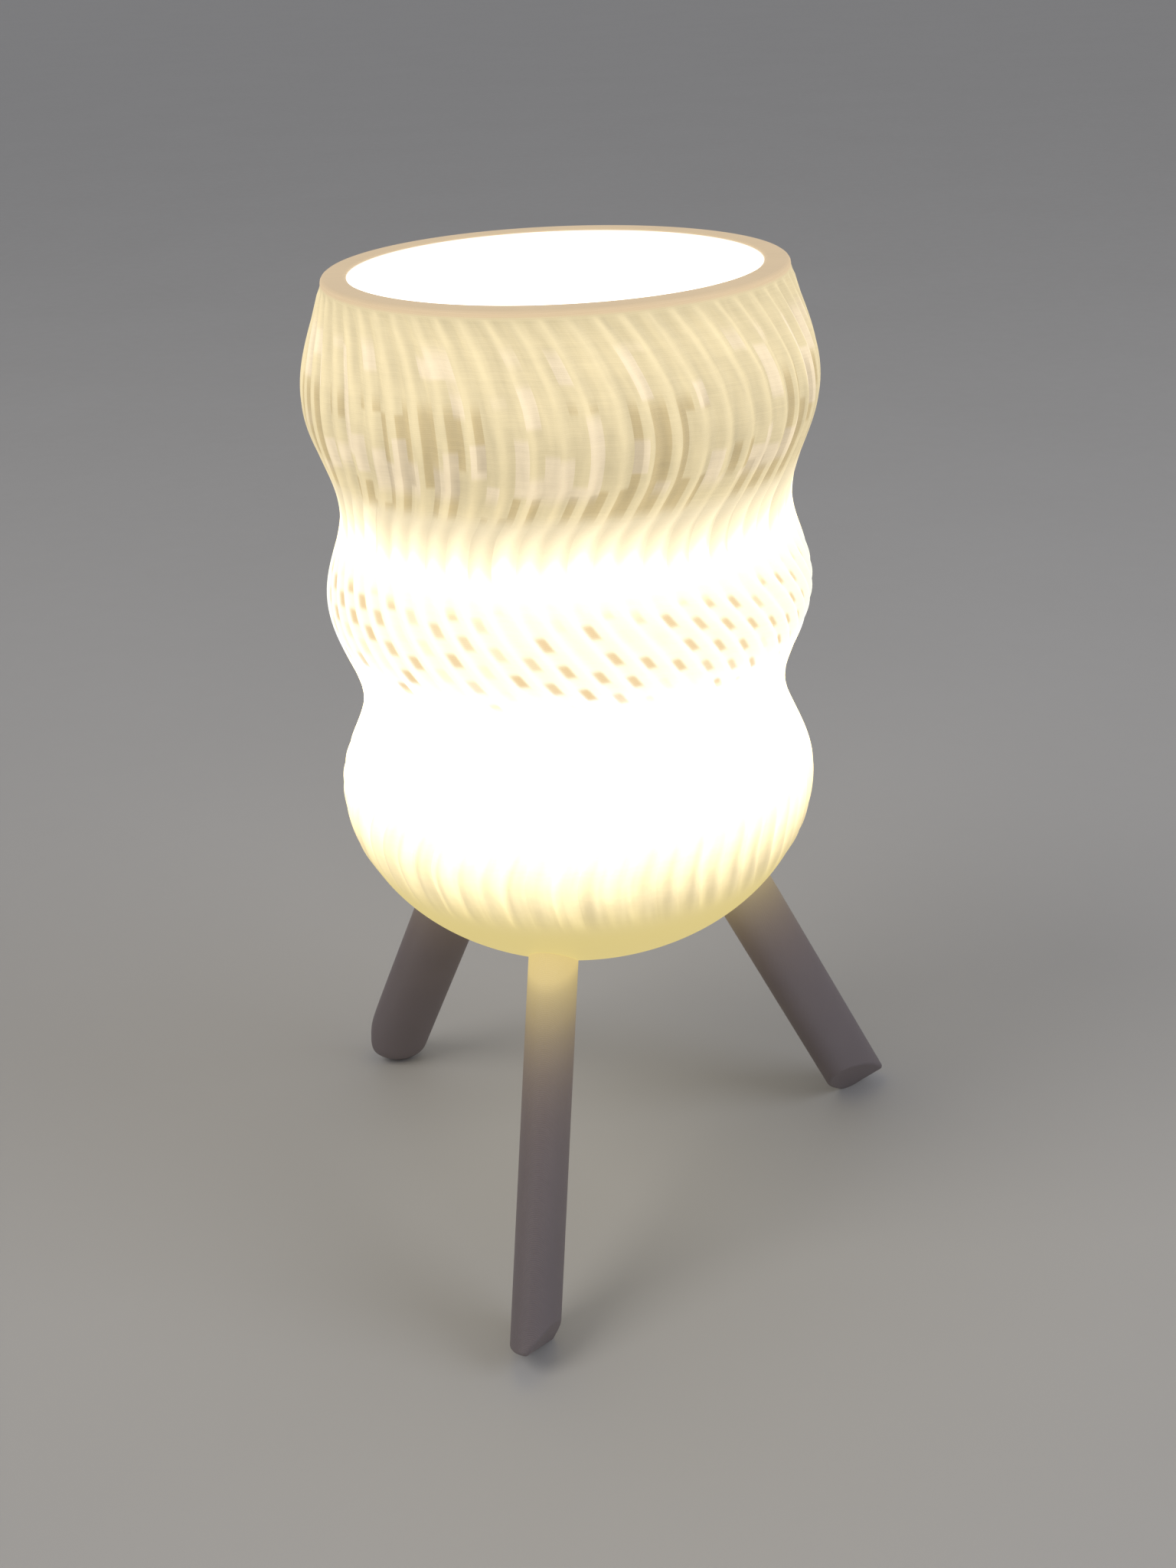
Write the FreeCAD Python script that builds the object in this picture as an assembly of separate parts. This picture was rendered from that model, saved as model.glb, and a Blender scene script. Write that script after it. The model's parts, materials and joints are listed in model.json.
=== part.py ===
import FreeCAD, Part
import os
from math import asin, cos, pi, radians, sin, sqrt

# Tripod table lamp.  Millimetres, +Z up, origin in the plane of the feet under the middle of
# the overall outline.  Everything is drawn about the lamp's own axis and moved to LAMP_AXIS
# when it is saved.  The front leg points to -Y; the others stand 120 degrees to either side.

# ---- driving dimensions -------------------------------------------------------------------
LAMP_AXIS = FreeCAD.Vector(-0.79, 16.66, 0)
HEIGHT = 274.0            # feet to rim
RIM_R = 59.0              # outer radius of the rim ring
WALL = 7.0                # shade wall, measured along the radius
RIB_COUNT = 60
RIB_HALF = 0.55           # half of a rib's height above its groove
RIB_TOP = 270.0           # the ribs fade out into the smooth rim above this
RIB_END = 112.0           # and the shade stands on the smooth dome at this height
LIP_R = 55.0              # the dome's lip that centres the shade
LIP_TOP = 116.0
LIP_FIT = 0.05
POLES_PER_RIB = 6
RIB_BANDS = 40

# crests and waists of the shade, (height, radius), joined by half cosine waves
WAVES = [(281.5, 57.5), (244.5, 66.1), (214.6, 59.1), (190.3, 64.7), (162.2, 57.5), (135.0, 65.6)]
DOME_Z = 135.0            # level of the dome's widest circle
DOME_R = 65.6
DOME_DROP = 51.0          # from that level to the dome's lowest point
PAD_TOP = 95.0
PAD_R = 17.0

# how far the ribs have turned about the axis, (height, degrees)
TWIST = [(274.0, 0.0), (262.0, 7.0), (252.0, 10.4), (243.0, 11.3), (235.0, 10.6), (226.0, 7.6),
         (219.0, 3.8), (212.0, 2.5), (205.0, 4.2), (189.0, 14.2), (172.0, 24.6), (161.0, 28.8),
         (150.0, 27.0), (138.0, 21.6), (129.0, 19.5), (119.0, 20.6), (108.0, 24.0)]

LEG_SPLAY = radians(26.9)
LEG_FLOOR_R = 93.2        # where a leg's axis meets the floor
LEG_HALF_THIN = 6.6       # oval section, its two half widths
LEG_HALF_WIDE = 10.4
LEG_GAP = 0.10            # between a leg's contoured top and the dome
SPIGOT_R = 4.5
SPIGOT_END = 127.7        # along the leg's axis from the floor
SPIGOT_FIT = 0.06
BOSS_R = 8.0
TIP_TILT = radians(58.0)  # the oblique flat at each tip, from square
TIP_EDGE = 1.2
# leg name, azimuth from -Y, turn of the section's wide way about the leg's axis, way the
# oblique flat faces (both from outward towards counter-clockwise round the lamp), where the
# flat's plane crosses the axis, and where the bar's square end lies (both along the axis)
LEGS = [("leg_front", 0.0, 0.0, 80.0, 1.8, 4.2), ("leg_right", 120.0, 31.0, -97.0, 5.5, 1.0),
        ("leg_left", 240.0, 50.0, 112.0, 8.5, 0.5)]

NIPPLE_R = 5.0
NIPPLE_BORE_R = 3.7
NIPPLE_FIT = 0.05
SOCKET_R = 7.3
CAP_CREST_R = 6.75
CAP_ROOT_R = 6.15
THREAD_PITCH = 2.82

os.makedirs("parts", exist_ok=True)
Z_AXIS = FreeCAD.Vector(0, 0, 1)
ORIGIN = FreeCAD.Vector(0, 0, 0)


def rz(r, z, turn=0.0):
    """Point at radius r and height z in the half plane at angle turn."""
    return FreeCAD.Vector(r * cos(turn), r * sin(turn), z)


def save(shape, node):
    shape.translated(LAMP_AXIS).exportStep("parts/" + node + ".step")


def outer_r(z):
    """Mean radius of the shade's outside: half cosine waves, then the ellipse of the dome."""
    if z <= DOME_Z:
        return DOME_R * sqrt(max(0.0, 1.0 - ((DOME_Z - z) / DOME_DROP) ** 2))
    for (z_hi, r_hi), (z_lo, r_lo) in zip(WAVES, WAVES[1:]):
        if z >= z_lo:
            blend = 0.5 - 0.5 * cos(pi * (z_hi - z) / (z_hi - z_lo))
            return r_hi + (r_lo - r_hi) * blend
    return DOME_R


def twist_at(z):
    """Rib turn at height z: cubic pieces with limited slopes through the TWIST points."""
    pts = TWIST
    slopes = [(b[1] - a[1]) / (b[0] - a[0]) for a, b in zip(pts, pts[1:])]
    tangents = [slopes[0]]
    for s0, s1 in zip(slopes, slopes[1:]):
        tangents.append(0.0 if s0 * s1 <= 0 else 2.0 * s0 * s1 / (s0 + s1))
    tangents.append(slopes[-1])
    for i in range(len(pts) - 1):
        if z >= pts[i + 1][0] or i == len(pts) - 2:
            span = pts[i + 1][0] - pts[i][0]
            t = (z - pts[i][0]) / span
            h01 = t * t * (3.0 - 2.0 * t)
            h10 = t * (1.0 - t) ** 2
            h11 = t * t * (t - 1.0)
            ends = pts[i][1] * (1.0 - h01) + pts[i + 1][1] * h01
            return radians(ends + span * (h10 * tangents[i] + h11 * tangents[i + 1]))
    return 0.0


def fade(z):
    """Share of the full rib height at height z: none at both ends of the ribbed band."""
    top = min(1.0, max(0.0, (RIB_TOP - 2.5 - z) / 4.0))
    low = min(1.0, max(0.0, (z - RIB_END - 3.0) / 12.0))
    return (top * top * (3.0 - 2.0 * top)) * (low * low * (3.0 - 2.0 * low))


def ribbed_face():
    """Periodic bicubic surface: a ring of poles per level, turned by the twist of that level."""
    count = RIB_COUNT * POLES_PER_RIB
    ring_gain = 6.0 / (4.0 + 2.0 * cos(2.0 * pi / count))
    rib_gain = 6.0 / (4.0 + 2.0 * cos(2.0 * pi / POLES_PER_RIB))
    knots = [0] * 3 + list(range(RIB_BANDS + 1)) + [RIB_BANDS] * 3
    levels = [sum(knots[i + 1:i + 4]) / 3.0 for i in range(RIB_BANDS + 3)]
    net = [[] for _ in range(count)]
    for level in levels:
        z = RIB_TOP - (RIB_TOP - RIB_END) * level / RIB_BANDS
        rib = RIB_HALF * rib_gain * fade(z)
        for j in range(count):
            r = outer_r(z) * ring_gain + rib * cos(2.0 * pi * j / POLES_PER_RIB)
            net[j].append(rz(r, z, 2.0 * pi * j / count + twist_at(z)))
    surface = Part.BSplineSurface()
    surface.buildFromPolesMultsKnots(
        net, [1] * (count + 1), [4] + [1] * (RIB_BANDS - 1) + [4],
        list(range(count + 1)), list(range(RIB_BANDS + 1)), True, False, 3, 3)
    return surface.toShape()


def profile_curve(z_hi, z_lo, inset, turn, step=4.0):
    """Smooth curve down the shade wall between two heights, inset along the radius."""
    n = max(3, int((z_hi - z_lo) / step))
    pts = []
    for i in range(n + 1):
        z = z_hi + (z_lo - z_hi) * i / n
        pts.append(rz(outer_r(z) - inset, z, turn))
    curve = Part.BSplineCurve()
    curve.interpolate(pts)
    return curve.toShape()


def line(a, b):
    return Part.makeLine(a, b)


def ellipse_bowl(r_top, z_top, half_r, half_z, turn):
    """Solid of revolution under an ellipse centred on the axis at DOME_Z, cut flat at z_top."""
    start = rz(r_top, z_top, turn)
    pts = [start]
    first = asin((DOME_Z - z_top) / half_z)
    for i in range(1, 12):
        a = first + (pi / 2 - first) * i / 12.0
        pts.append(rz(half_r * cos(a), DOME_Z - half_z * sin(a), turn))
    pts.append(rz(0, DOME_Z - half_z))
    curve = Part.BSplineCurve()
    inward = FreeCAD.Vector(-cos(turn), -sin(turn), 0)
    down = FreeCAD.Vector(cos(turn) * -half_r * sin(first), sin(turn) * -half_r * sin(first),
                          -half_z * cos(first))
    down.normalize()
    curve.interpolate(Points=pts, InitialTangent=down, FinalTangent=inward)
    wire = Part.Wire([curve.toShape(), line(pts[-1], rz(0, z_top)), line(rz(0, z_top), start)])
    return Part.Face(wire).revolve(ORIGIN, Z_AXIS, 360)


def revolve_outline(pts):
    """Solid of revolution about the lamp's axis from (r, z) corners."""
    corners = [rz(r, z) for r, z in pts]
    return Part.Face(Part.makePolygon(corners + corners[:1])).revolve(ORIGIN, Z_AXIS, 360)


def leg_frame(azimuth):
    """Foot point, axis up the leg, and the section's outward and sideways directions."""
    a = radians(azimuth)
    out = FreeCAD.Vector(sin(a), -cos(a), 0)
    side = FreeCAD.Vector(cos(a), sin(a), 0)
    axis = out * -sin(LEG_SPLAY) + Z_AXIS * cos(LEG_SPLAY)
    up_out = out * cos(LEG_SPLAY) + Z_AXIS * sin(LEG_SPLAY)
    return out * LEG_FLOOR_R, axis, up_out, side


def oval_bar(azimuth, turn, s0, s1):
    """Straight bar of oval section along a leg's axis, from s0 to s1 above the floor point."""
    foot, axis, up_out, side = leg_frame(azimuth)
    t = radians(turn)
    wide = up_out * cos(t) + side * sin(t)
    thin = side * cos(t) - up_out * sin(t)
    centre = foot + axis * s0
    ellipse = Part.Ellipse(centre + wide * LEG_HALF_WIDE, centre + thin * LEG_HALF_THIN, centre)
    return Part.Face(Part.Wire(ellipse.toShape())).extrude(axis * (s1 - s0))


def rod(azimuth, s0, s1, r):
    foot, axis, _, _ = leg_frame(azimuth)
    return Part.makeCylinder(r, s1 - s0, foot + axis * s0, axis)


# ---- dome: smooth bowl with a lip for the shade, a pad for the lampholder and leg sockets ------
hollow_r = DOME_R - WALL
hollow_drop = DOME_DROP - WALL


def hollow_at(z):
    """Inner radius of the dome at height z."""
    return hollow_r * sqrt(1.0 - ((DOME_Z - z) / hollow_drop) ** 2)


dome = ellipse_bowl(outer_r(RIB_END), RIB_END, DOME_R, DOME_DROP, 0.0)
dome = dome.fuse(Part.makeCylinder(LIP_R, LIP_TOP - 108.0, FreeCAD.Vector(0, 0, 108.0)))
dome = dome.cut(ellipse_bowl(hollow_at(LIP_TOP), LIP_TOP, hollow_r, hollow_drop, 0.0))
dome = dome.fuse(Part.makeCylinder(PAD_R, PAD_TOP - 86.0, FreeCAD.Vector(0, 0, 86.0)))
recess_top = 88.5
dome = dome.cut(Part.makeCylinder(10.0, recess_top - 70.0, FreeCAD.Vector(0, 0, 70.0)))
dome = dome.cut(Part.makeCylinder(NIPPLE_R + 0.15, 60.0, FreeCAD.Vector(0, 0, 70.0)))
hole_end = SPIGOT_END + 0.8
for _, azimuth, _, _, _, _ in LEGS:
    dome = dome.fuse(rod(azimuth, 112.7, hole_end + 1.6, BOSS_R))
for _, azimuth, _, _, _, _ in LEGS:
    dome = dome.cut(rod(azimuth, 96.7, hole_end, SPIGOT_R + SPIGOT_FIT))
save(dome, "dome_base")

# ---- ribbed shade, standing on the dome --------------------------------------------------------
inner_rim = RIM_R - WALL
rim_low = outer_r(RIB_TOP)
lip = 1.4
seat_r = LIP_R + LIP_FIT
seat_top = LIP_TOP + 0.1
lower_wall = []
for i in range(6):
    z = DOME_Z + (seat_top - DOME_Z) * i / 5.0
    lower_wall.append(rz(hollow_at(z), z))
lower_curve = Part.BSplineCurve()
lower_curve.interpolate(lower_wall)
wall_edges = [
    line(rz(rim_low, RIB_TOP), rz(RIM_R, HEIGHT - lip)),
    Part.Arc(rz(RIM_R, HEIGHT - lip), rz(RIM_R - 0.41, HEIGHT - 0.41),
             rz(RIM_R - lip, HEIGHT)).toShape(),
    line(rz(RIM_R - lip, HEIGHT), rz(inner_rim + lip, HEIGHT)),
    Part.Arc(rz(inner_rim + lip, HEIGHT), rz(inner_rim + 0.41, HEIGHT - 0.41),
             rz(inner_rim, HEIGHT - lip)).toShape(),
    line(rz(inner_rim, HEIGHT - lip), rz(rim_low - WALL, RIB_TOP)),
    profile_curve(RIB_TOP, DOME_Z, WALL, 0.0),
    lower_curve.toShape(),
    line(rz(hollow_at(seat_top), seat_top), rz(seat_r, seat_top)),
    line(rz(seat_r, seat_top), rz(seat_r, RIB_END)),
    line(rz(seat_r, RIB_END), rz(outer_r(RIB_END), RIB_END)),
]
smooth_faces = Part.Wire(wall_edges).revolve(ORIGIN, Z_AXIS, 360)
skin_faces = Part.Compound([ribbed_face()] + smooth_faces.Faces)
skin_faces.sewShape(0.005)
shade = Part.Solid(skin_faces.Shells[0] if skin_faces.Shells else skin_faces)
if shade.Volume < 0:
    shade.reverse()
save(shade, "shade")

# ---- legs -------------------------------------------------------------------------------------
grown_r = DOME_R + LEG_GAP
grown_drop = DOME_DROP + LEG_GAP
plug_top = 130.0
plug_r = grown_r * sqrt(1.0 - ((DOME_Z - plug_top) / grown_drop) ** 2)
dome_plug = ellipse_bowl(plug_r, plug_top, grown_r, grown_drop, 0.0)
below_floor = Part.makeBox(400, 400, 60, FreeCAD.Vector(-200, -200, -60))
for node, azimuth, turn, facing, rise, end in LEGS:
    foot, axis, up_out, side = leg_frame(azimuth)
    leg = oval_bar(azimuth, turn, end, 116.0).cut(dome_plug)
    way = up_out * cos(radians(facing)) + side * sin(radians(facing))
    normal = axis * -cos(TIP_TILT) + way * sin(TIP_TILT)
    leg = leg.cut(Part.makeCylinder(40.0, 40.0, foot + axis * rise, normal))
    tip_edges = [e for e in leg.Edges if e.BoundBox.ZMax < 40.0 and e.BoundBox.DiagonalLength < 60.0]
    leg = leg.makeFillet(TIP_EDGE, tip_edges).cut(below_floor)
    leg = leg.fuse(rod(azimuth, 104.0, SPIGOT_END, SPIGOT_R)).removeSplitter()
    rim = [e for e in leg.Edges if len(e.Vertexes) == 1 and e.BoundBox.ZMin > 105.0
           and e.Length < 2.0 * pi * SPIGOT_R + 1.0]
    leg = leg.makeChamfer(0.6, rim)
    save(leg, node)

# ---- threaded tube and its fixings --------------------------------------------------------------
nipple = revolve_outline([(NIPPLE_BORE_R, 84.4), (NIPPLE_R - 0.5, 84.4), (NIPPLE_R, 84.9),
                          (NIPPLE_R, 103.5), (NIPPLE_R - 0.5, 104.0), (NIPPLE_BORE_R, 104.0)])
save(nipple, "nipple")
save(revolve_outline([(NIPPLE_R + 0.2, 87.5), (9.0, 87.5), (9.0, 88.5), (NIPPLE_R + 0.2, 88.5)]),
     "washer_lower")
save(revolve_outline([(NIPPLE_R + 0.2, PAD_TOP), (8.5, PAD_TOP), (8.5, PAD_TOP + 0.8),
                      (NIPPLE_R + 0.2, PAD_TOP + 0.8)]), "washer_upper")
hexagon = Part.makePolygon([rz(14.0 / sqrt(3.0), 84.6, k * pi / 3) for k in range(7)])
nut = Part.Face(hexagon).extrude(FreeCAD.Vector(0, 0, 2.9))
nut = nut.common(revolve_outline([(0, 84.6), (7.3, 84.6), (8.2, 85.4), (8.2, 87.5), (0, 87.5)]))
save(nut.cut(Part.makeCylinder(NIPPLE_R + NIPPLE_FIT, 10, FreeCAD.Vector(0, 0, 80))), "hex_nut")

# ---- lampholder ---------------------------------------------------------------------------------
base_z = PAD_TOP + 0.8
bore = NIPPLE_R + NIPPLE_FIT
holder_cap = revolve_outline([(bore, base_z), (9.5, base_z), (13.6, base_z + 5.0), (13.6, 113.0),
                              (12.0, 113.0), (12.0, 105.0), (8.2, 102.2), (bore, 102.2)])
save(holder_cap, "holder_cap")
sleeve = revolve_outline([(10.5, 106.4), (11.9, 106.4), (11.9, 113.1), (13.6, 113.1), (13.6, 136.0),
                          (12.6, 139.0), (8.3, 139.0), (SOCKET_R, 138.0), (SOCKET_R, 118.4),
                          (10.5, 118.4)])
for k in range(5):
    groove_z = 124.0 + k * THREAD_PITCH
    sleeve = sleeve.cut(revolve_outline([(SOCKET_R - 0.5, groove_z - 0.9), (SOCKET_R + 0.55, groove_z),
                                         (SOCKET_R - 0.5, groove_z + 0.9)]))
sleeve = sleeve.cut(Part.makeBox(1.2, 3.2, 10.6, FreeCAD.Vector(SOCKET_R - 0.2, -1.6, 118.0)))
save(sleeve, "holder_sleeve")

insert = revolve_outline([(0, 107.6), (9.4, 107.6), (10.3, 108.4), (10.3, 117.8), (0, 117.8)])
for x in (-6.0, 6.0):
    insert = insert.cut(Part.makeCylinder(1.25, 5.2, FreeCAD.Vector(x, 0, 107.0)))
for y in (-6.4, 6.4):
    insert = insert.cut(Part.makeCylinder(1.6, 30.0, FreeCAD.Vector(0, y, 100.0)))
insert = insert.cut(Part.makeCylinder(1.05, 30.0, FreeCAD.Vector(0, 0, 100.0)))
insert = insert.cut(Part.makeBox(0.9, 3.4, 20.0, FreeCAD.Vector(SOCKET_R + 0.05, -1.7, 113.0)))
save(insert, "holder_insert")

spring = Part.makeBox(8.6, 3.0, 0.5, FreeCAD.Vector(-4.3, -1.5, 117.8))
spring = spring.fuse(revolve_outline([(0, 117.0), (1.0, 117.0), (1.0, 118.3), (2.2, 118.3), (1.6, 119.4),
                                      (0, 119.5)]))
save(spring.removeSplitter(), "contact_centre")
side_contact = Part.makeBox(0.5, 2.8, 14.6, FreeCAD.Vector(SOCKET_R + 0.15, -1.4, 113.4))
side_contact = side_contact.fuse(Part.makeCylinder(
    0.45, 2.8, FreeCAD.Vector(SOCKET_R + 0.2, -1.4, 127.2), FreeCAD.Vector(0, 1, 0)))
save(side_contact.removeSplitter(), "contact_side")

screws = []
for x in (-6.0, 6.0):
    screw = Part.makeCylinder(1.2, 4.6, FreeCAD.Vector(x, 0, 107.6))
    head = Part.makeCylinder(2.1, 1.3, FreeCAD.Vector(x, 0, 106.3))
    slot = Part.makeBox(5.0, 0.6, 0.6, FreeCAD.Vector(x - 2.5, -0.3, 106.3))
    screws.append(screw.fuse(head).cut(slot).removeSplitter())
save(Part.Compound(screws), "terminal_screws")

# ---- bulb ---------------------------------------------------------------------------------------
eyelet = revolve_outline([(0, 119.8), (1.3, 119.9), (2.3, 120.5), (2.5, 121.2), (1.0, 121.2),
                          (1.0, 122.6), (0, 122.6)])
save(eyelet, "bulb_eyelet")
save(revolve_outline([(1.06, 121.3), (3.3, 121.3), (5.6, 123.3), (5.6, 124.2), (1.06, 124.2)]),
     "bulb_insulator")

crests = []
for k in range(5):
    z = 126.2 + k * THREAD_PITCH
    crests += [(CAP_ROOT_R, z - 1.0), (CAP_CREST_R, z - 0.2), (CAP_CREST_R, z + 0.2), (CAP_ROOT_R, z + 1.0)]
cap = revolve_outline([(5.65, 123.4), (CAP_ROOT_R, 123.9)] + crests
                      + [(CAP_ROOT_R, 140.0), (5.65, 140.0)])
save(cap, "bulb_cap")
housing = revolve_outline([(4.2, 136.0), (5.6, 136.0), (5.6, 140.1), (7.6, 140.1), (8.0, 141.0), (9.4, 147.0),
                           (13.0, 153.5), (18.2, 158.6), (19.4, 160.6), (19.4, 161.6), (17.9, 161.6),
                           (17.9, 160.4), (16.6, 159.4), (12.0, 154.6), (8.0, 148.0), (6.6, 142.4), (4.2, 141.5)])
save(housing, "bulb_housing")
driver = Part.makeBox(7.0, 1.2, 27.0, FreeCAD.Vector(-3.5, -0.6, 128.0))
driver = driver.fuse(Part.makeCylinder(2.2, 8.0, FreeCAD.Vector(0, 2.7, 144.0)))
driver = driver.fuse(Part.makeBox(4.0, 1.8, 4.0, FreeCAD.Vector(-2.0, -2.3, 146.0)))
save(driver.removeSplitter(), "bulb_driver")
board = Part.makeCylinder(17.7, 1.4, FreeCAD.Vector(0, 0, 160.5))
for k in range(8):
    chip = Part.makeBox(2.8, 3.5, 0.7, FreeCAD.Vector(9.8, -1.75, 161.8))
    chip.rotate(ORIGIN, Z_AXIS, 45.0 * k)
    board = board.fuse(chip)
save(board.removeSplitter(), "bulb_board")

GLOBE_R = 22.5
GLOBE_Z = 173.5
skin = 1.3
rim_z = 161.7
r_out = sqrt(GLOBE_R ** 2 - (GLOBE_Z - rim_z) ** 2)
r_in = sqrt((GLOBE_R - skin) ** 2 - (GLOBE_Z - rim_z - 0.2) ** 2)
lower_a = asin((GLOBE_Z - rim_z) / GLOBE_R)
inner_a = asin((GLOBE_Z - rim_z - 0.2) / (GLOBE_R - skin))


def globe_arc(radius, a0):
    """Arc from a0 below the equator up to the pole, in the XZ half plane."""
    mid = 0.5 * (pi / 2 - a0)
    return Part.Arc(rz(radius * cos(a0), GLOBE_Z - radius * sin(a0)),
                    rz(radius * cos(mid), GLOBE_Z + radius * sin(mid)),
                    rz(0, GLOBE_Z + radius)).toShape()


outer_arc = globe_arc(GLOBE_R, lower_a)
inner_arc = globe_arc(GLOBE_R - skin, inner_a)
loop = [outer_arc, line(rz(0, GLOBE_Z + GLOBE_R), rz(0, GLOBE_Z + GLOBE_R - skin)), inner_arc,
        line(rz(r_in, rim_z + 0.2), rz(r_in, rim_z)), line(rz(r_in, rim_z), rz(r_out, rim_z))]
globe = Part.Face(Part.Wire(Part.__sortEdges__(loop))).revolve(ORIGIN, Z_AXIS, 360)
save(globe, "bulb_diffuser")
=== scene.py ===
import bpy
import json
import numpy as np
from mathutils import Matrix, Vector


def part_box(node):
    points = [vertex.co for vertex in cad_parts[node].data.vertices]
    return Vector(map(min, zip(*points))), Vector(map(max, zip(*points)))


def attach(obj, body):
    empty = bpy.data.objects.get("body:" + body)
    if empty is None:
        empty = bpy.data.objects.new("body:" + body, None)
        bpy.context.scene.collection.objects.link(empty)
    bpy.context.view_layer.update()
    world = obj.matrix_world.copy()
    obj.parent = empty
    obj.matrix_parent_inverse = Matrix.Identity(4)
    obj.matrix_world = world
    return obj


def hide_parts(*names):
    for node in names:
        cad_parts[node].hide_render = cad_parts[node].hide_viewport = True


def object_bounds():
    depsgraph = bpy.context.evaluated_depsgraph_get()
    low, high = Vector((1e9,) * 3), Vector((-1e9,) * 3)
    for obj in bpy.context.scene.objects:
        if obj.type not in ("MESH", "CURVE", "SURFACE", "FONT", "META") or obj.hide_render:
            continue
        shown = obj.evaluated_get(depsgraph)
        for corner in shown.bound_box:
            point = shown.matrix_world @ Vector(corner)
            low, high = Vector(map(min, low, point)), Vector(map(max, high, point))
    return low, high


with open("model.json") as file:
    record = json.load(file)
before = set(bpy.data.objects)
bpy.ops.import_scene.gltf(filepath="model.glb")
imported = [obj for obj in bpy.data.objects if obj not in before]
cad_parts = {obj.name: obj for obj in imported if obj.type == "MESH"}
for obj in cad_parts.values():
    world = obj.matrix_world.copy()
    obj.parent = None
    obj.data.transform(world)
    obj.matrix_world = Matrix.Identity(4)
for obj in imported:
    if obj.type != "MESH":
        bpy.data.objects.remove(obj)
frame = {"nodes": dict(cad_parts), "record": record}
cad_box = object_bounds()

# ---- measures of the lamp, in millimetres, with heights above its feet ----------------------
MM = 0.001
nipple_low, nipple_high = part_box("nipple")
AXIS = np.array([(nipple_low[i] + nipple_high[i]) / 2 for i in (0, 1)]) / MM
RIM_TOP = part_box("shade")[1][2] / MM
RIM_R = 59.0
RIM_ROUND = 1.4
WALL = 7.0
RIBS = 60
RIB_HALF = 0.55
RIB_TOP = 272.2
RIB_END = 112.0
# heights and mean outer radii of the crests and waists, from above the rim to the dome
WAVES = np.array([(281.5, 57.5), (244.5, 66.1), (214.6, 59.1), (190.3, 64.7), (162.2, 57.5),
                  (135.0, 65.6)])
# heights and turns of the ribs about the axis, in degrees
TWIST = np.array([(274.0, 0.0), (262.0, 7.0), (252.0, 10.4), (243.0, 11.3), (235.0, 10.6),
                  (226.0, 7.6), (219.0, 3.8), (212.0, 2.5), (205.0, 4.2), (189.0, 14.2),
                  (172.0, 24.6), (161.0, 28.8), (150.0, 27.0), (138.0, 21.6), (129.0, 19.5),
                  (119.0, 20.6), (108.0, 24.0)])
DOME_Z = 135.0                      # the dome's widest circle
DOME_R = 65.6
DOME_DROP = 51.0
RECESS_R = 10.0                     # round the nut, under the dome
RECESS_TOP = 88.5
BORE_R = 5.15                       # for the threaded tube
PAD_R = 17.0                        # under the lampholder
PAD_TOP = 95.0
LEG_SPLAY = np.radians(26.9)
LEG_FLOOR_R = 93.2
LEG_HALF_WIDE = 10.4
LEG_HALF_THIN = 6.6
LEG_GAP = 0.1                       # between a leg's top and the dome
SPIGOT_R = 4.5
SPIGOT_END = 127.7                  # along the leg, from the floor
SOCKET_END = 128.5
SOCKET_R = 5.0
BOSS_R = 8.0


# ---- shapes ---------------------------------------------------------------------------------
def smooth(x):
    """0 below 0, 1 above 1, and an S-curve between."""
    x = np.clip(x, 0, 1)
    return x * x * (3 - 2 * x)


def wall_radius(z):
    """Mean outer radius at height z: half cosine waves between the crests and waists, and an
    ellipse below the dome's widest circle."""
    i = np.clip(np.searchsorted(-WAVES[:, 0], -z) - 1, 0, len(WAVES) - 2)
    hi, lo = WAVES[i], WAVES[i + 1]
    t = (hi[:, 0] - z) / (hi[:, 0] - lo[:, 0])
    wavy = hi[:, 1] + (lo[:, 1] - hi[:, 1]) * (0.5 - 0.5 * np.cos(np.pi * t))
    dome = DOME_R * np.sqrt(np.clip(1 - ((DOME_Z - z) / DOME_DROP) ** 2, 0, 1))
    return np.where(z < DOME_Z, dome, wavy)


def rib_turn(z):
    """Turn of the ribs about the axis at height z, in radians: cubic pieces through the TWIST
    points, with a level tangent at each turning point."""
    zs, a = TWIST[::-1, 0], TWIST[::-1, 1]
    slope = np.diff(a) / np.diff(zs)
    before, after = slope[:-1], slope[1:]
    inner = np.where(before * after > 0, 2 * before * after / (before + after + 1e-12), 0)
    tangent = np.concatenate([slope[:1], inner, slope[-1:]])
    i = np.clip(np.searchsorted(zs, z) - 1, 0, len(zs) - 2)
    span = zs[i + 1] - zs[i]
    t = np.clip((z - zs[i]) / span, 0, 1)
    h = smooth(t)
    bend = tangent[i] * t * (1 - t) ** 2 + tangent[i + 1] * t * t * (t - 1)
    return np.radians(a[i] * (1 - h) + a[i + 1] * h + span * bend)


def rib_share(z):
    """Share of the full rib height at height z: none at the rim and on the dome."""
    return smooth((RIB_TOP - z) / 2.8) * smooth((z - RIB_END - 2) / 9)


def along(points, step):
    """Points about step apart along straight runs between the given corners."""
    points = np.asarray(points, float)
    runs = []
    for a, b in zip(points, points[1:]):
        n = max(1, int(np.hypot(*(b - a)) / step))
        runs.append(a + (b - a) * (np.arange(n) / n)[:, None])
    return np.concatenate(runs + [points[-1:]])


def arc(centre, radius, start, end, n):
    """n points on an arc in the (radius, height) plane, angles in degrees."""
    a = np.radians(np.linspace(start, end, n))
    return np.stack([centre[0] + radius * np.cos(a), centre[1] + radius * np.sin(a)], 1)


def bowl(radius, drop, start, end, n):
    """n points on an ellipse below the dome's widest circle, angles in radians below level."""
    a = np.linspace(start, end, n)
    return np.stack([radius * np.cos(a), DOME_Z - drop * np.sin(a)], 1)


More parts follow.
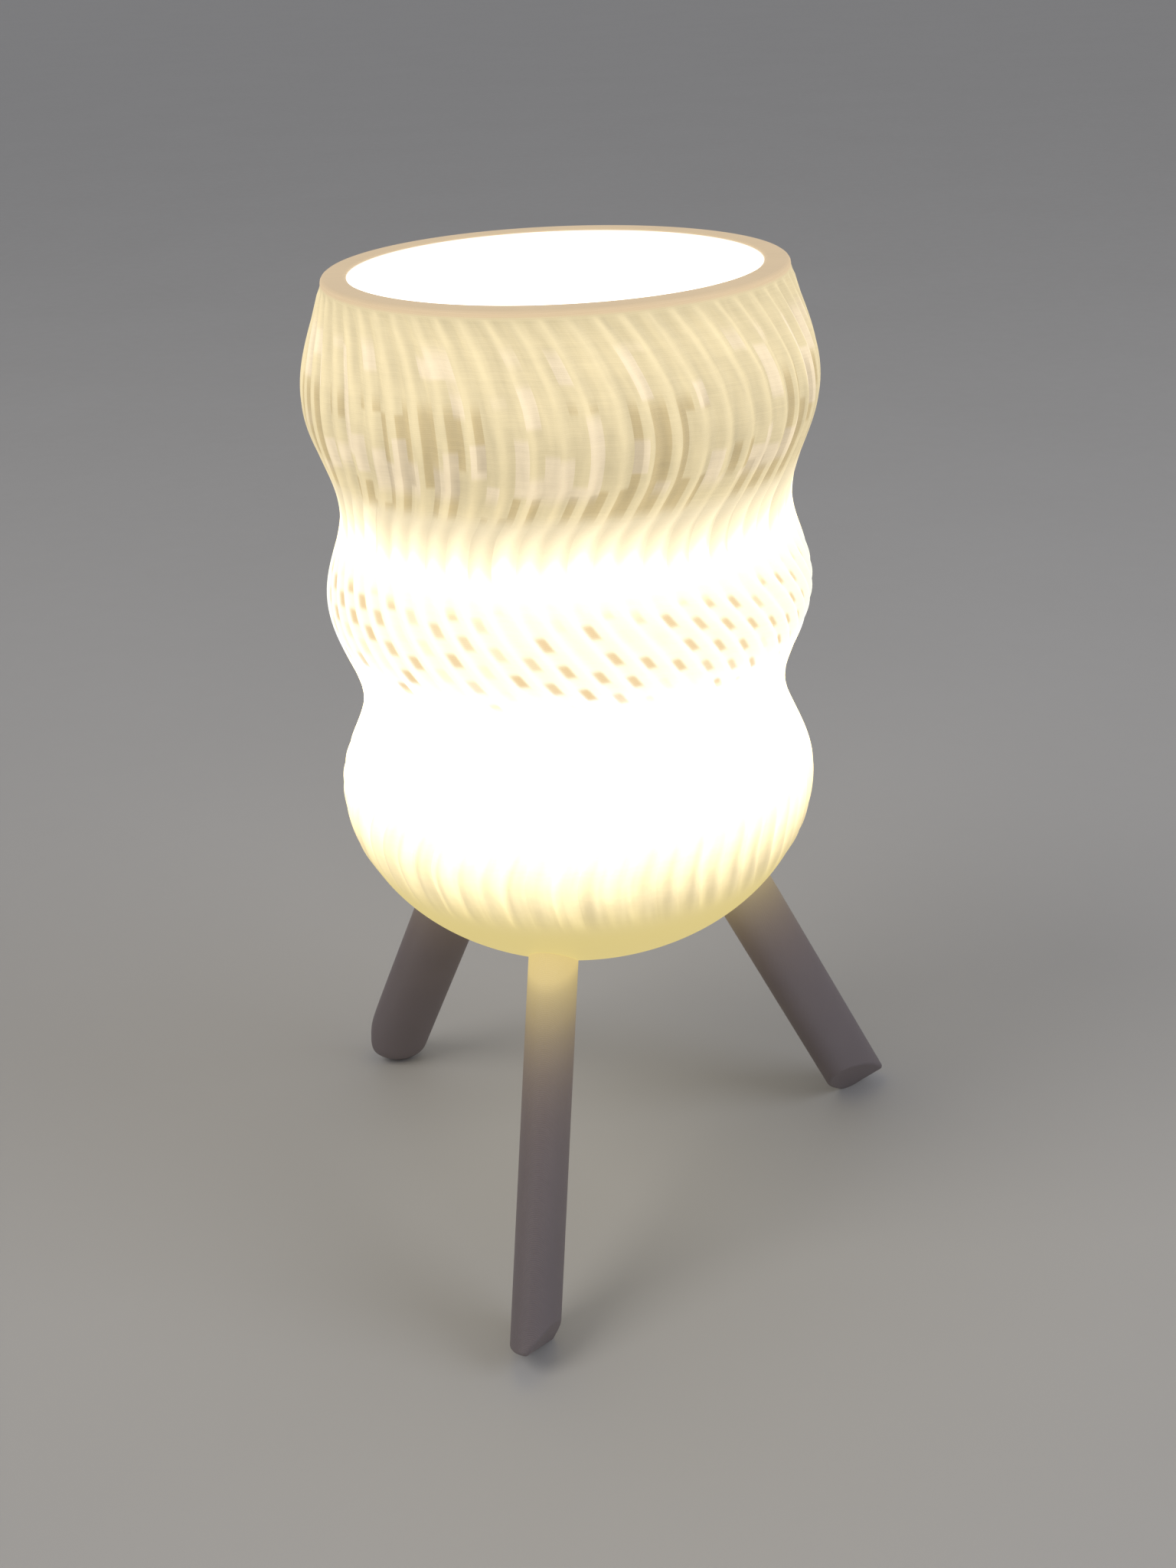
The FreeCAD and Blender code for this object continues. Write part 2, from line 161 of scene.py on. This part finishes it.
def add_mesh(name, grid, u_lines, v_lines, closed, body):
    """A mesh from a grid of points in millimetres, with a UV map of the given grid lines.
    Columns always close round, and rows do when closed; where they don't, the first and last
    row are one point each, with a fan about it.  The piece rides on a body."""
    nu, nv = grid.shape[:2]
    rows = nv if closed else nv - 1
    ids = np.arange(nu * nv).reshape(nu, nv)
    if not closed:
        ids[:, 0], ids[:, -1] = ids[0, 0], ids[0, -1]
    kept, ids = np.unique(ids, return_inverse=True)
    ids = ids.reshape(nu, nv)
    beside = np.roll(ids, -1, axis=0)
    corners = np.stack([ids, beside, np.roll(beside, -1, axis=1), np.roll(ids, -1, axis=1)], -1)
    corners = corners[:, :rows].reshape(-1, 4)
    u, v = np.meshgrid(u_lines[:-1], v_lines[:rows], indexing="ij")
    u_next, v_next = np.meshgrid(u_lines[1:], v_lines[1:rows + 1], indexing="ij")
    uv = np.stack([u, v, u_next, v, u_next, v_next, u, v_next], -1).reshape(-1, 4, 2)
    used = corners != np.roll(corners, 1, axis=1)
    sizes = used.sum(axis=1)
    mesh = bpy.data.meshes.new(name)
    mesh.vertices.add(len(kept))
    points = grid.reshape(-1, 3)[kept] * MM
    mesh.vertices.foreach_set("co", points.astype(np.float32).ravel())
    mesh.loops.add(int(sizes.sum()))
    mesh.loops.foreach_set("vertex_index", corners[used].astype(np.int32))
    mesh.polygons.add(len(sizes))
    mesh.polygons.foreach_set("loop_start", (np.cumsum(sizes) - sizes).astype(np.int32))
    mesh.update(calc_edges=True)
    layer = mesh.uv_layers.new(name="UVMap")
    layer.data.foreach_set("uv", uv[used].astype(np.float32).ravel())
    mesh.shade_smooth()
    mesh.validate()
    piece = bpy.data.objects.new(name, mesh)
    bpy.context.scene.collection.objects.link(piece)
    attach(piece, body)
    return piece


def leg_axes():
    """Floor point, upward direction and outward direction of each leg about the lamp's axis,
    in the order front, right, left."""
    a = np.radians([0.0, 120.0, 240.0])
    out = np.stack([np.sin(a), -np.cos(a), 0 * a], 1)
    up = -out * np.sin(LEG_SPLAY) + np.array([0, 0, np.cos(LEG_SPLAY)])
    return out * LEG_FLOOR_R, up, out


def shell_profile():
    """The meridian of the shade and dome as (radius, height) points.  It runs down the ribbed
    wall, round the dome, up the recess and the bore at its foot, across the pad, up the hollow
    and over the rim.  Also gives how many points are on the wall, and on wall and dome."""
    z = np.linspace(RIB_TOP, RIB_END, 112)
    r = wall_radius(z)
    wall = np.stack([np.where(z > RIM_TOP - 10, np.maximum(r, RIM_R), r), z], 1)
    dome = bowl(DOME_R, DOME_DROP, np.arcsin((DOME_Z - RIB_END) / DOME_DROP),
                np.arccos((RECESS_R + 0.4) / DOME_R), 46)[1:]
    edge = 0.2
    foot = along([(RECESS_R, 85.4), (RECESS_R, RECESS_TOP - edge), (RECESS_R - edge, RECESS_TOP),
                  (BORE_R + 0.15, RECESS_TOP), (BORE_R, RECESS_TOP + edge),
                  (BORE_R, PAD_TOP - edge), (BORE_R + edge, PAD_TOP),
                  (PAD_R - 2 * edge, PAD_TOP), (PAD_R, PAD_TOP - 2 * edge), (PAD_R, 93.3)], 2.5)
    hollow_r, hollow_drop = DOME_R - WALL, DOME_DROP - WALL
    low_hollow = bowl(hollow_r, hollow_drop, np.arccos((PAD_R + 0.3) / hollow_r),
                      np.arcsin((DOME_Z - RIB_END) / hollow_drop), 16)
    z = np.linspace(RIB_END, RIB_TOP, 40)[1:]
    below = hollow_r * np.sqrt(np.clip(1 - ((DOME_Z - z) / hollow_drop) ** 2, 0, 1))
    high_hollow = np.stack([np.where(z < DOME_Z, below, wall_radius(z) - WALL), z], 1)
    rim_z = RIM_TOP - RIM_ROUND
    rim = np.concatenate([arc((RIM_R - WALL + RIM_ROUND, rim_z), RIM_ROUND, 180, 90, 5),
                          arc((RIM_R - RIM_ROUND, rim_z), RIM_ROUND, 90, 0, 5)])
    profile = np.concatenate([wall, dome, foot, low_hollow, high_hollow, rim])
    return profile, len(wall), len(wall) + len(dome)


def shade_and_dome():
    """The shade and dome as one closed skin, whose columns are turned copies of the meridian.
    Radius is the meridian's plus a cosine rib.  Every row outside is turned by the rib turn
    of its height, so the columns follow the ribs, and the rows inside turn back evenly.
    Points of the dome near a leg's axis are pushed in along that axis, as the leg's socket.
    The attribute "inside" is 1 on the hollow's side of the wall."""
    per_rib = 8
    columns = RIBS * per_rib
    profile, n_wall, n_outside = shell_profile()
    r, z = profile[:, 0], profile[:, 1]
    row = np.arange(len(profile))
    turn_low, turn_high = rib_turn(np.array([RIB_END, RIB_TOP]))
    back = smooth((row - n_outside) / (len(profile) - 12 - n_outside))
    turn = np.where(row < n_outside, rib_turn(np.clip(z, RIB_END, RIB_TOP)),
                    turn_low + (turn_high - turn_low) * back)
    rib = np.where(row < n_wall, rib_share(z), 0) * RIB_HALF
    column = np.arange(columns)[:, None]
    radius = r + rib * np.cos(2 * np.pi * column / per_rib)
    angle = 2 * np.pi * column / columns + turn
    grid = np.stack([radius * np.cos(angle), radius * np.sin(angle),
                     np.broadcast_to(z, radius.shape)], -1)
    on_dome = (row >= n_wall) & (row < n_outside)
    for foot, up, _ in zip(*leg_axes()):
        from_foot = grid[:, on_dome] - foot
        s = from_foot @ up
        off_axis = np.linalg.norm(from_foot - s[..., None] * up, axis=-1)
        push = (SOCKET_END - s) * smooth((SOCKET_R + 0.6 - off_axis) / 0.6) * (s > 90)
        grid[:, on_dome] += push[..., None] * up
    grid[..., :2] += AXIS
    piece = add_mesh("shade_and_dome", grid, np.arange(columns + 1) / per_rib,
                     np.append(z, z[0]) * MM, True, "lamp")
    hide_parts("shade", "dome_base")
    co = np.empty(len(piece.data.vertices) * 3, np.float32)
    piece.data.vertices.foreach_get("co", co)
    co = co.reshape(-1, 3).astype(float) / MM
    r, z = np.hypot(*(co[:, :2] - AXIS).T), co[:, 2]
    inside = (r < wall_radius(z) - WALL + 1) & (z > PAD_TOP - 4) & (z < RIM_TOP - 0.8)
    mark = piece.data.attributes.new("inside", "FLOAT", "POINT")
    mark.data.foreach_set("value", inside.astype(np.float32))
    return piece


def socket_boss(name, foot, up):
    """One leg's socket inside the dome: a profile turned about the leg's axis, hollow from
    below and closed above with a rounded shoulder."""
    bore, low, turned = 5.8, 113.2, 48
    profile = np.concatenate([
        along([(0, SOCKET_END + 0.5), (bore, SOCKET_END + 0.5), (bore, low), (BOSS_R, low),
               (BOSS_R, SOCKET_END + 0.6)], 3.0),
        arc((BOSS_R - 1, SOCKET_END + 0.6), 1.0, 15, 90, 5),
        [(3.5, SOCKET_END + 1.6), (0, SOCKET_END + 1.6)]])
    r, s = profile[:, 0][None], profile[:, 1][None]
    a = np.linspace(0, 2 * np.pi, turned, endpoint=False)[:, None]
    across = np.cross(up, [0, 0, 1.0])
    across /= np.linalg.norm(across)
    other = np.cross(up, across)
    grid = (foot + s[..., None] * up + (r * np.cos(a))[..., None] * across
            + (r * np.sin(a))[..., None] * other)
    grid[..., :2] += AXIS
    return add_mesh(name, grid, np.linspace(0, 1, turned + 1), np.linspace(0, 1, len(profile)),
                    False, "lamp")


def round_leg():
    """The left leg with its rounded end: an oval section swept up the leg's axis from half an
    ellipsoid that touches the floor, to a top face that lies on the dome, and a round spigot
    above it with a chamfer.  Heights on the dome solve the ellipsoid's quadratic equation.
    The outer side is flattened by a soft limit, so that the foot keeps to the frame's box."""
    foot, up, out = (three[2] for three in leg_axes())
    side = np.array([-out[1], out[0], 0])
    up_out = np.cross(side, up)
    section_turn, turned, end = np.radians(50.0), 96, 8.5
    wide = up_out * np.cos(section_turn) + side * np.sin(section_turn)
    thin = side * np.cos(section_turn) - up_out * np.sin(section_turn)
    a = np.linspace(0, 2 * np.pi, turned, endpoint=False)[:, None]
    oval = LEG_HALF_WIDE * np.cos(a) * wide + LEG_HALF_THIN * np.sin(a) * thin
    spigot = SPIGOT_R * (np.cos(a) * wide + np.sin(a) * thin)
    start = np.hypot(end * up[2], np.abs(oval[:, 2]).max()) / up[2]
    scale = np.array([1, 1, DOME_R / DOME_DROP]) / (DOME_R + LEG_GAP)

    def on_dome(ring):
        p = (foot + ring - [0, 0, DOME_Z]) * scale
        d = up * scale
        b = p @ d
        return (-b - np.sqrt(b * b - (d @ d) * ((p * p).sum(1) - 1))) / (d @ d)

    rows = [(np.cos(f) * oval, start - end * np.sin(f)) for f in np.linspace(np.pi / 2, 0, 12)]
    rows += [(oval, start + (on_dome(oval) - start) * k) for k in np.linspace(0, 1, 40)[1:]]
    for k in np.linspace(0, 1, 6)[1:]:
        ring = oval * (1 - k) + spigot * k
        rows.append((ring, on_dome(ring)))
    low, chamfer = on_dome(spigot), 0.6
    rows += [(spigot, low + (SPIGOT_END - chamfer - low) * k) for k in np.linspace(0, 1, 8)[1:]]
    rows += [(spigot * 0.87, SPIGOT_END), (spigot * 0, SPIGOT_END)]
    grid = np.stack([foot + ring + np.broadcast_to(s, (turned,))[:, None] * up
                     for ring, s in rows], 1)
    grid[..., :2] += AXIS
    past = (grid[..., 0] - cad_box[0][0] / MM) / 2
    grid[..., 0] += np.sqrt(past ** 2 + 0.5) - past
    piece = add_mesh("left_leg_rounded", grid, np.linspace(0, 1, turned + 1),
                     np.linspace(0, 1, len(rows)), False, "leg_left")
    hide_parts("leg_left")
    return piece


# ---- shader arithmetic ----------------------------------------------------------------------
class Socket:
    """An output in a material's node tree.  Arithmetic on it adds Math nodes."""

    def __init__(self, tree, out=None):
        self.tree, self.out = tree, out

    def node(self, kind, settings=None, out=0, **inputs):
        """Adds a node: its settings first, where "points" are a curve's, then the values or
        links of its inputs, by name or as _ and an index.  Gives the chosen output."""
        node = self.tree.nodes.new(kind)
        for key, value in (settings or {}).items():
            if key == "points":
                line = node.mapping.curves[0].points
                for i, point in enumerate(value):
                    if i < 2:
                        line[i].location = point
                    else:
                        line.new(*point)
                node.mapping.update()
            else:
                setattr(node, key, value)
        for key, value in inputs.items():
            socket = node.inputs[int(key[1:]) if key[0] == "_" else key.replace("_", " ")]
            if isinstance(value, Socket):
                self.tree.links.new(value.out, socket)
            else:
                socket.default_value = value
        return Socket(self.tree, node.outputs[out])

    def math(self, operation, a, b=0.0):
        return self.node("ShaderNodeMath", {"operation": operation}, _0=a, _1=b)

    def __add__(self, other): return self.math("ADD", self, other)
    def __radd__(self, other): return self.math("ADD", other, self)
    def __sub__(self, other): return self.math("SUBTRACT", self, other)
    def __rsub__(self, other): return self.math("SUBTRACT", other, self)
    def __mul__(self, other): return self.math("MULTIPLY", self, other)
    def __rmul__(self, other): return self.math("MULTIPLY", other, self)
    def __truediv__(self, other): return self.math("DIVIDE", self, other)
    def __pow__(self, other): return self.math("POWER", self, other)
    def __abs__(self): return self.math("ABSOLUTE", self)

    def floor(self):
        return self.math("FLOOR", self)

    def wave(self, phase=0.0):
        """Cosine of self counted in whole turns, with a phase in radians."""
        return self.math("COSINE", self * (2 * np.pi) + phase)

    def step(self, low, high):
        """0 to 1 in an S-curve as self goes from low to high."""
        return self.node("ShaderNodeMapRange", {"interpolation_type": "SMOOTHERSTEP"},
                         Value=self, From_Min=low, From_Max=high)

    def band(self, low, full, fade, high):
        """0 below low, 1 from full to fade, and 0 again above high."""
        return self.step(low, full) * (1.0 - self.step(fade, high))

    def curve(self, points):
        """Smooth curve through (position, value) points, positions from 0 to 1."""
        top = max(value for _, value in points)
        scaled = [(at, value / top) for at, value in points]
        return self.node("ShaderNodeFloatCurve", {"points": scaled}, Value=self) * top

    def xyz(self):
        first = self.node("ShaderNodeSeparateXYZ", _0=self)
        return [Socket(self.tree, out) for out in first.out.node.outputs]

    def vector(self, x, y, z):
        return self.node("ShaderNodeCombineXYZ", _0=x, _1=y, _2=z)

    def noise(self, place, scale=1.0, detail=0.0, rough=0.5):
        return self.node("ShaderNodeTexNoise", Vector=place, Scale=scale, Detail=detail,
                         Roughness=rough)

    def mix(self, factor, a, b):
        """Colour a where factor is 0, colour b where it is 1."""
        a, b = (c if isinstance(c, Socket) else (*c, 1.0) for c in (a, b))
        return self.node("ShaderNodeMix", {"data_type": "RGBA"}, 2, _0=factor, _6=a, _7=b)

    def tint(self, colour, amount):
        """Colour multiplied by a number that may be above 1."""
        return self.node("ShaderNodeVectorMath", {"operation": "SCALE"}, _0=colour, Scale=amount)

    def bump(self, height, distance):
        return self.node("ShaderNodeBump", Height=height, Distance=distance)


def material(name, finish):
    """A material whose shader takes what finish(s, place) gives, by input name.  s adds nodes
    and place is the Object coordinate, in metres."""
    made = bpy.data.materials.new(name)
    made.use_nodes = True
    shader = made.node_tree.nodes["Principled BSDF"]
    s = Socket(made.node_tree)
    for key, value in finish(s, s.node("ShaderNodeTexCoord", out="Object")).items():
        if isinstance(value, Socket):
            made.node_tree.links.new(value.out, shader.inputs[key])
        else:
            shader.inputs[key].default_value = value
    return made


# ---- finishes -------------------------------------------------------------------------------
# how much light comes through, as (share of the height from the dome's foot to the rim, amount)
SHADE_LIGHT = [(0.0, 0.64), (0.13, 0.64), (0.17, 0.68), (0.21, 0.93), (0.245, 1.4), (0.28, 2.0),
               (0.32, 2.7), (0.42, 2.9), (0.50, 2.3), (0.54, 1.8), (0.60, 1.75), (0.655, 2.0),
               (0.69, 1.35), (0.715, 0.98), (0.745, 0.76), (0.79, 0.64), (0.83, 0.66),
               (0.90, 0.76), (0.985, 0.70), (1.0, 0.52)]
# the same in a leg, as (share of 110 mm above the floor, amount)
LEG_LIGHT = [(0.0, 0.004), (0.35, 0.008), (0.525, 0.020), (0.64, 0.055), (0.725, 0.13),
             (0.785, 0.24), (0.843, 0.39), (0.87, 0.53), (0.89, 0.61), (1.0, 0.68)]
PRINT_LAYER = 0.28


def lit_print(s, place):
    """Printed translucent plastic, lit from inside; the light that comes through is painted on
    as emission, by a curve of the height.  At the upper waist and above the dome the ribs and
    slow noises shift that curve up and down, so its edges are jagged.  Over that painted light
    lie a thin bright line on each rib, uneven filling, slanted streaks, layer lines, and on the
    top wave dark bars one rib wide and pale panes half a rib wide.  Tan dashes of less light
    lie in the grooves of the middle wave, closer together on its flanks, and the painted light
    on the ring at the rim is tan.  The hollow's side is painted as lit straight by the bulb.
    The base colour is darker than the pale plastic, as painted shade, so that the room's light
    adds little to the painted glow."""
    rib, up, _ = s.node("ShaderNodeUVMap").xyz()
    x, y, z = place.xyz()
    height = z * 1000.0
    swell = rib.wave()
    crest = (0.5 + 0.5 * rib.wave(-0.7)) ** 4.0
    rib_id = (rib + 0.5).floor()
    each = s.noise(s.vector(rib_id * 7.31, 3.0, 0.0)) - 0.5

    waist = height.band(203.0, 210.0, 222.0, 229.0)
    skirt = height.band(112.0, 119.0, 138.0, 146.0)
    wander = s.noise(s.vector(rib * 1.4, height * 0.02, 4.0), detail=2.0) - 0.5
    shift = waist * (1.6 * swell + 13.0 * each) \
        + skirt * (3.6 * swell + 7.0 * each + 16.0 * wander)
    foot = DOME_Z - DOME_DROP
    share = (height - foot - shift) / (RIM_TOP - foot)
    light = share.curve(SHADE_LIGHT)

    ribbed = height.band(112.0, 124.0, 271.0, 272.6) * (1.0 - 0.65 * waist)
    upper = height.step(221.0, 228.0)
    fill = s.noise(s.vector(rib * 1.1, height * 0.16, 2.0), detail=3.0, rough=0.6)
    streak = s.noise(s.vector(rib * 2.3, height * 0.07, 12.0), detail=2.0) - 0.5
    layer = s.noise(s.vector(rib * 0.05, height * 1.3, 5.0), detail=2.0) - 0.5
    fine = s.noise(s.vector(rib * 0.4, height * 2.6, 8.0)) - 0.5
    gain = 1.0 + ribbed * (0.135 * crest - 0.045 + 0.035 * swell + 0.16 * (fill - 0.5)
                           + 0.42 * upper * streak + 0.10 * layer) \
        + 0.10 * upper * fine * (1.0 - crest)

    block = s.noise(s.vector(rib_id * 3.7, (height + 5.0 * each) * 0.030, 0.0))
    bars = height.band(223.0, 228.0, 249.0, 256.0) * block.step(0.485, 0.51) \
        * (0.3 - swell).step(-0.15, 0.15)
    half = s.noise(s.vector((rib * 2.0).floor() * 2.9, height * 0.045, 6.0), detail=1.0)
    panes = height.band(228.0, 234.0, 262.0, 268.0) * half.step(0.55, 0.60)
    gain = gain * (1.0 - 0.20 * bars) * (1.0 + 0.13 * panes)

    groove_id = (rib + 0.1).floor()
    row = height * 0.150 + groove_id * 0.31
    hit = s.noise(s.vector(groove_id * 5.3, (row + 0.5).floor() * 4.1, 9.0))
    turn = s.math("ARCTAN2", x - AXIS[0] * MM, AXIS[1] * MM - y)
    flank = abs(turn - 0.15).step(0.25, 0.85)
    spot = row.wave().step(-0.9, 0.9) * (0.5 - 0.5 * rib.wave(0.6)).step(0.35, 1.05)
    middle = height.band(175.0, 181.0, 199.0, 205.0)
    dashes = middle * spot * hit.step(0.38 - 0.10 * flank, 0.60 - 0.10 * flank)

    warm = s.mix(height.step(108.0, 130.0), (1.0, 0.81, 0.29), (1.0, 0.825, 0.475))
    warm = s.mix(bars, warm, (1.0, 0.775, 0.385))
    warm = s.mix(waist * 0.6, warm, (1.0, 0.86, 0.60))
    warm = s.mix(panes * 0.8, warm, (1.0, 0.82, 0.565))
    # painted shade: the ring at the rim gets a darker, tan light
    warm = s.mix(height.step(271.8, 272.9), warm, (1.0, 0.74, 0.44))
    glow = s.tint(warm, light * gain * (0.95 + 0.10 * s.noise(place, 9.0, 2.0)))
    capped = s.node("ShaderNodeVectorMath", {"operation": "MINIMUM"}, _0=glow, _1=(1.06,) * 3)
    glow = s.mix(middle, glow, capped)
    # painted shade: tan dashes where less light comes through the grooves
    glow = s.mix(dashes, glow, (0.80, 0.585, 0.31))
    # painted light: the hollow's side glows as if lit straight by the bulb
    hollow = s.tint(s.mix(share, (1.0, 0.93, 0.80), (1.0, 0.95, 0.86)),
                    1.9 + 0.5 * s.noise(place, 40.0, 2.0))
    inside = s.node("ShaderNodeAttribute", {"attribute_name": "inside"}, "Fac")
    lines = (up * (1000.0 / PRINT_LAYER)).wave()
    # painted shade: a base colour darker than the pale plastic, so the room's light adds little
    # to the painted glow
    return {"Base Color": s.mix(fill, (0.16, 0.145, 0.115), (0.20, 0.18, 0.145)),
            "Roughness": 0.46 + 0.14 * fill, "Emission Color": s.mix(inside, glow, hollow),
            "Emission Strength": 1.0, "IOR": 1.46,
            "Normal": s.bump(0.5 * lines + 0.8 * fill, 0.00006)}


def leg_print(s, place):
    """Solid printed plastic that carries light down from the dome and loses it on the way; that
    light is painted on as emission.  Its base colour is darker than the pale plastic, as painted
    shade.
    """
    z = place.xyz()[2]
    share = z * (1000.0 / 110.0)
    cloud = s.noise(place, 55.0, 3.0)
    warm = s.mix(share.step(0.45, 0.9), (1.0, 0.68, 0.42), (1.0, 0.77, 0.27))
    lines = (z * (1000.0 / PRINT_LAYER)).wave()
    # painted shade: a base colour darker than the pale plastic, as in a dim room; painted light:
    # the emission below
    return {"Base Color": s.mix(cloud, (0.20, 0.165, 0.17), (0.24, 0.20, 0.205)),
            "Roughness": 0.34 + 0.2 * cloud,
            "Emission Color": s.tint(warm, share.curve(LEG_LIGHT)),
            "Emission Strength": 1.0, "IOR": 1.46,
            "Normal": s.bump(lines + cloud, 0.00005)}


def plain(colour, dark, rough, metal=0.0, grain=120.0, glow=None):
    """Finish of a moulded, plated or lacquered part: the colour drifts between two shades,
    the roughness drifts too, and a fine bump lies over both.  glow is light given as emission:
    the bulb's own light on its diffuser, and painted light on a part only lit by the bulb."""
    def finish(s, place):
        cloud = s.noise(place, grain, 4.0)
        fine = s.noise(place, grain * 12.0, 2.0)
        sockets = {"Base Color": s.mix(cloud, colour, dark), "Metallic": metal,
                   "Roughness": rough - 0.08 + 0.16 * fine,
                   "Normal": s.bump(fine + cloud, 0.00004)}
        if glow:
            sockets["Emission Color"] = s.mix(cloud, glow, tuple(0.96 * g for g in glow))
            sockets["Emission Strength"] = 2.5
        return sockets
    return finish


# finishes by the record's material slots
looks = {
    "translucent_plastic": material("lit_translucent_print", lit_print),
    "leg_plastic": material("leg_print", leg_print),
    "zinc_steel": material("zinc_plated_steel",
                           plain((0.62, 0.63, 0.62), (0.48, 0.49, 0.50), 0.34, 1.0)),
    "holder_plastic": material("moulded_white",
                               plain((0.83, 0.82, 0.78), (0.76, 0.74, 0.69), 0.30)),
    "terminal_block": material("moulded_buff",
                               plain((0.66, 0.61, 0.50), (0.56, 0.51, 0.41), 0.55)),
    "brass_metal": material("bare_brass",
                            plain((0.78, 0.60, 0.30), (0.62, 0.45, 0.20), 0.32, 1.0)),
    "nickel_metal": material("nickel_plate",
                             plain((0.74, 0.72, 0.68), (0.60, 0.58, 0.54), 0.24, 1.0)),
    "black_glass": material("black_glass",
                            plain((0.02, 0.02, 0.025), (0.05, 0.05, 0.05), 0.15)),
    "bulb_plastic": material("bulb_housing_white",
                             plain((0.86, 0.86, 0.83), (0.78, 0.78, 0.74), 0.42)),
    "circuit_board": material("lacquered_board",
                              plain((0.05, 0.20, 0.09), (0.03, 0.13, 0.06), 0.45)),
    "led_board": material("white_lacquer_board",
                          plain((0.84, 0.84, 0.80), (0.74, 0.74, 0.70), 0.4)),
    "diffuser_plastic": material("lit_opal",
                                 plain((0.9, 0.9, 0.86), (0.84, 0.84, 0.80), 0.5,
                                       glow=(1.0, 0.93, 0.78))),
}
# painted light: the sockets inside the dome glow as if lit by the bulb
lit_boss = material("lit_socket_print", plain((0.7, 0.66, 0.58), (0.6, 0.56, 0.48), 0.5,
                                              glow=(0.62, 0.58, 0.46)))

# ---- pieces ---------------------------------------------------------------------------------
shade_and_dome().data.materials.append(looks["translucent_plastic"])
for boss, foot, up in zip(("socket_front", "socket_right", "socket_left"), *leg_axes()[:2]):
    socket_boss(boss, foot, up).data.materials.append(lit_boss)
round_leg().data.materials.append(looks["leg_plastic"])
slots = {part["node"]: part["material_slot"] for part in frame["record"]["subparts"]}
for node, part in frame["nodes"].items():
    look = looks[slots[node]]
    if part.data.materials:
        for i in range(len(part.data.materials)):
            part.data.materials[i] = look
    else:
        part.data.materials.append(look)


# ---- floor, light and camera, in metres ------------------------------------------------------
def floor_sheet(half, cells):
    """A flat square floor: a grid of points at height 0."""
    t = np.linspace(-half, half, cells + 1)
    gx, gy = np.meshgrid(t, t, indexing="ij")
    n = cells + 1
    i, j = np.meshgrid(np.arange(cells), np.arange(cells), indexing="ij")
    quads = np.stack([i * n + j, (i + 1) * n + j, (i + 1) * n + j + 1, i * n + j + 1], -1)
    mesh = bpy.data.meshes.new("floor")
    mesh.from_pydata(np.stack([gx, gy, 0 * gx], -1).reshape(-1, 3), [], quads.reshape(-1, 4))
    mesh.shade_smooth()
    sheet = bpy.data.objects.new("floor", mesh)
    bpy.context.scene.collection.objects.link(sheet)
    return sheet


def put(thing, right, up, back, place):
    """Links an object to the scene with its three axes and its place."""
    m = np.eye(4)
    m[:3, 0], m[:3, 1], m[:3, 2], m[:3, 3] = right, up, back, place
    thing.matrix_world = Matrix(m.tolist())
    bpy.context.scene.collection.objects.link(thing)


def area_light(name, place, target, size, power, colour):
    """A round soft light at a place, facing a target."""
    data = bpy.data.lights.new(name, "AREA")
    data.shape = "DISK"
    data.size = size
    data.energy = power
    data.color = colour
    back = np.array(place, float) - np.array(target, float)
    back /= np.linalg.norm(back)
    right = np.cross([0, 0, 1.0], back)
    right /= np.linalg.norm(right)
    put(bpy.data.objects.new(name, data), right, np.cross(back, right), back, place)


def lamp_camera(turn, distance, height, pitch, yaw, roll, focal):
    """Camera at a given distance from the lamp's axis and height above its feet.  turn is its
    place round the lamp from the front leg, and pitch, yaw and roll turn its view, all in
    degrees.  focal is the focal length in picture heights."""
    turn, pitch, yaw, roll = np.radians([turn, pitch, yaw, roll])
    data = bpy.data.cameras.new("camera")
    data.sensor_fit = "VERTICAL"
    data.sensor_height = 36.0
    data.lens = data.sensor_height * focal
    data.clip_start = 0.01
    ahead = np.array([np.sin(yaw) * np.cos(pitch), np.cos(yaw) * np.cos(pitch), np.sin(pitch)])
    level = np.array([np.cos(yaw), -np.sin(yaw), 0.0])
    right = np.cos(roll) * level + np.sin(roll) * np.cross(level, ahead)
    up = np.cross(right, ahead)
    c, s = np.cos(turn), np.sin(turn)
    spin = np.array([[c, -s, 0], [s, c, 0], [0, 0, 1.0]])
    place = spin @ np.array([0, -distance, height]) + np.append(AXIS * MM, 0)
    camera = bpy.data.objects.new("camera", data)
    put(camera, spin @ right, spin @ up, spin @ -ahead, place)
    bpy.context.scene.camera = camera


floor = floor_sheet(12.0, 24)
floor.data.materials.append(material("pale_floor", plain((0.50, 0.48, 0.45), (0.47, 0.45, 0.42),
                                                         0.55, grain=6.0)))

world = bpy.data.worlds.new("soft_room")
world.use_nodes = True
sky = world.node_tree.nodes["Background"]
sky.inputs["Color"].default_value = (0.78, 0.80, 0.86, 1.0)
sky.inputs["Strength"].default_value = 0.45
bpy.context.scene.world = world
area_light("soft_key", (-0.9, -0.8, 1.5), (0, 0, 0.1), 1.0, 9.0, (1.0, 0.98, 0.95))
area_light("soft_side", (1.2, -0.2, 0.9), (0, 0, 0.1), 0.9, 5.0, (0.80, 0.86, 1.0))
lamp_camera(turn=11.98, distance=0.4813, height=0.3569, pitch=-25.36, yaw=0.30, roll=-2.53,
            focal=2445 / 2048)
bpy.context.scene.view_settings.view_transform = "Standard"
